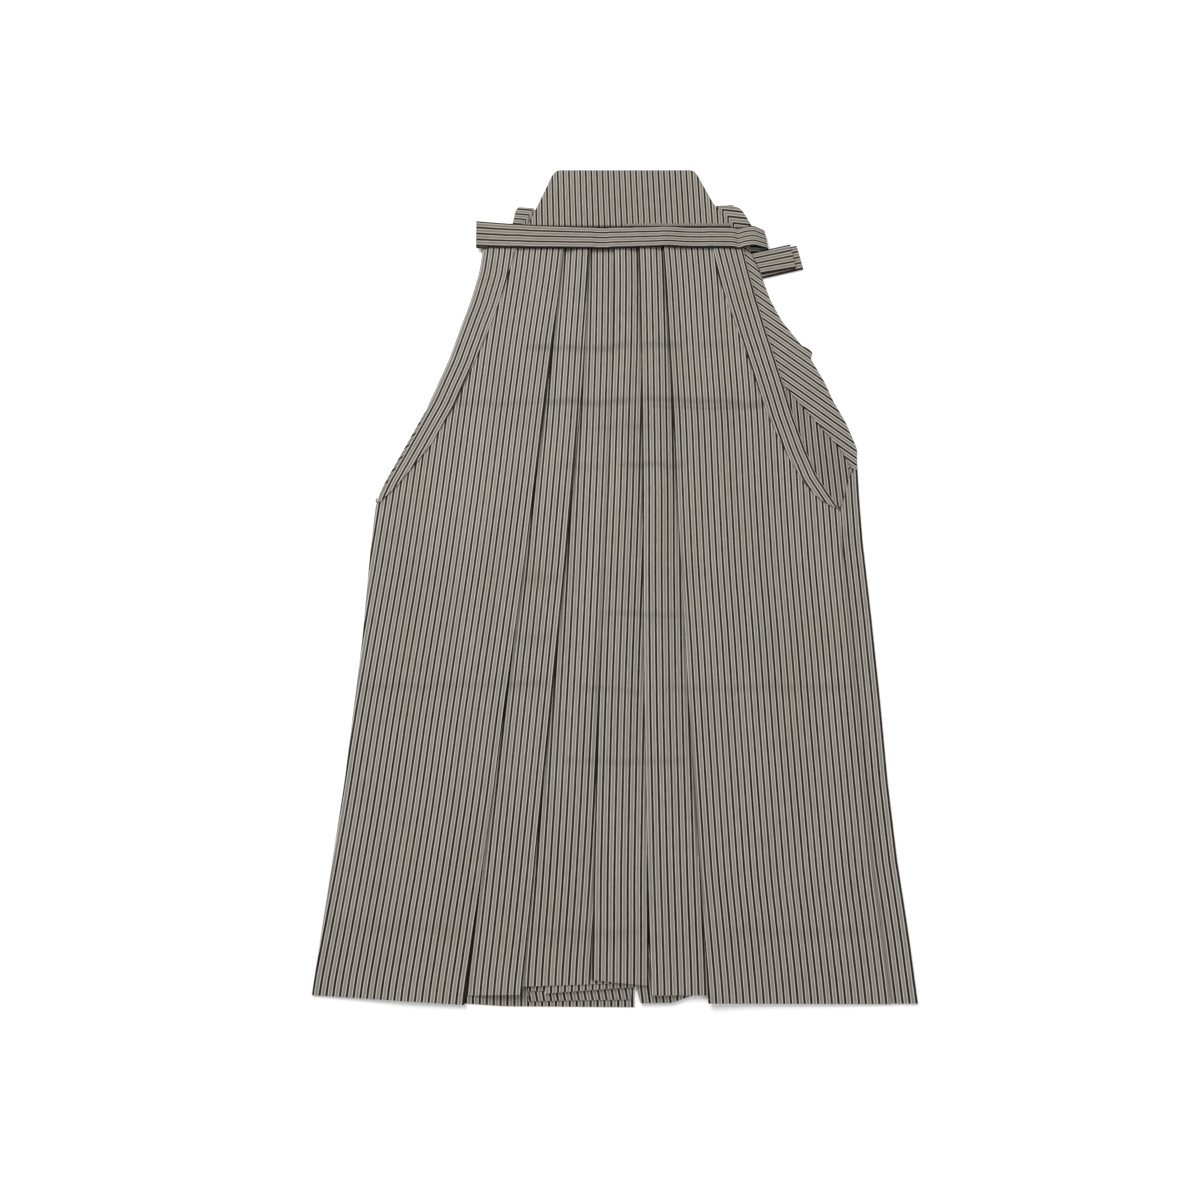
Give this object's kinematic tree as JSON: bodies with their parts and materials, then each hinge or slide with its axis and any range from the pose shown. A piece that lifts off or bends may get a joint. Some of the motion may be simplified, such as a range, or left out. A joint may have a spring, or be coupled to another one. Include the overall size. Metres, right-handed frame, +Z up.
{
  "type": "hakama",
  "caption": "Divided pleated hakama trousers in striped cloth, laid flat with the front up, with a stiff back board and folded waist ties.",
  "frame": {"origin": "centre of the bounding box's footprint, on the surface that the garment lies on", "axes": "+Z up out of the surface, the front's face upwards; +Y from the hem to the waist; +X to the right as seen from above"},
  "size_m": [0.6128, 0.983, 0.0129],
  "materials": {
    "back_board": "stiff board in a cover of woven striped cloth",
    "back_himo_folds_1": "woven striped cloth, doubled",
    "back_himo_folds_2": "woven striped cloth, doubled",
    "back_himo_left": "woven striped cloth, doubled",
    "back_himo_right": "woven striped cloth, doubled",
    "back_left_leg": "woven striped cloth",
    "back_right_leg": "woven striped cloth",
    "back_right_side_fold": "woven striped cloth on the bias",
    "back_right_side_wrap": "woven striped cloth",
    "front_himo_band": "woven striped cloth, doubled",
    "front_himo_tie": "woven striped cloth, doubled",
    "front_left_leg": "woven striped cloth with a soft sheen",
    "front_left_side_fold": "woven striped cloth",
    "front_right_leg": "woven striped cloth with a soft sheen",
    "front_right_side_fold": "woven striped cloth",
    "gusset_left": "woven striped cloth",
    "gusset_right": "woven striped cloth"
  },
  "bodies": {
    "root": {"back_board": "back_board", "back_himo_folds_1": "back_himo_folds_1", "back_himo_folds_2": "back_himo_folds_2", "back_himo_left": "back_himo_left", "back_himo_right": "back_himo_right", "back_left_leg": "back_left_leg", "back_right_leg": "back_right_leg", "back_right_side_fold": "back_right_side_fold", "back_right_side_wrap": "back_right_side_wrap", "front_himo_band": "front_himo_band", "front_himo_tie": "front_himo_tie", "front_left_leg": "front_left_leg", "front_left_side_fold": "front_left_side_fold", "front_right_leg": "front_right_leg", "front_right_side_fold": "front_right_side_fold", "gusset_left": "gusset_left", "gusset_right": "gusset_right"}
  },
  "joints": []
}
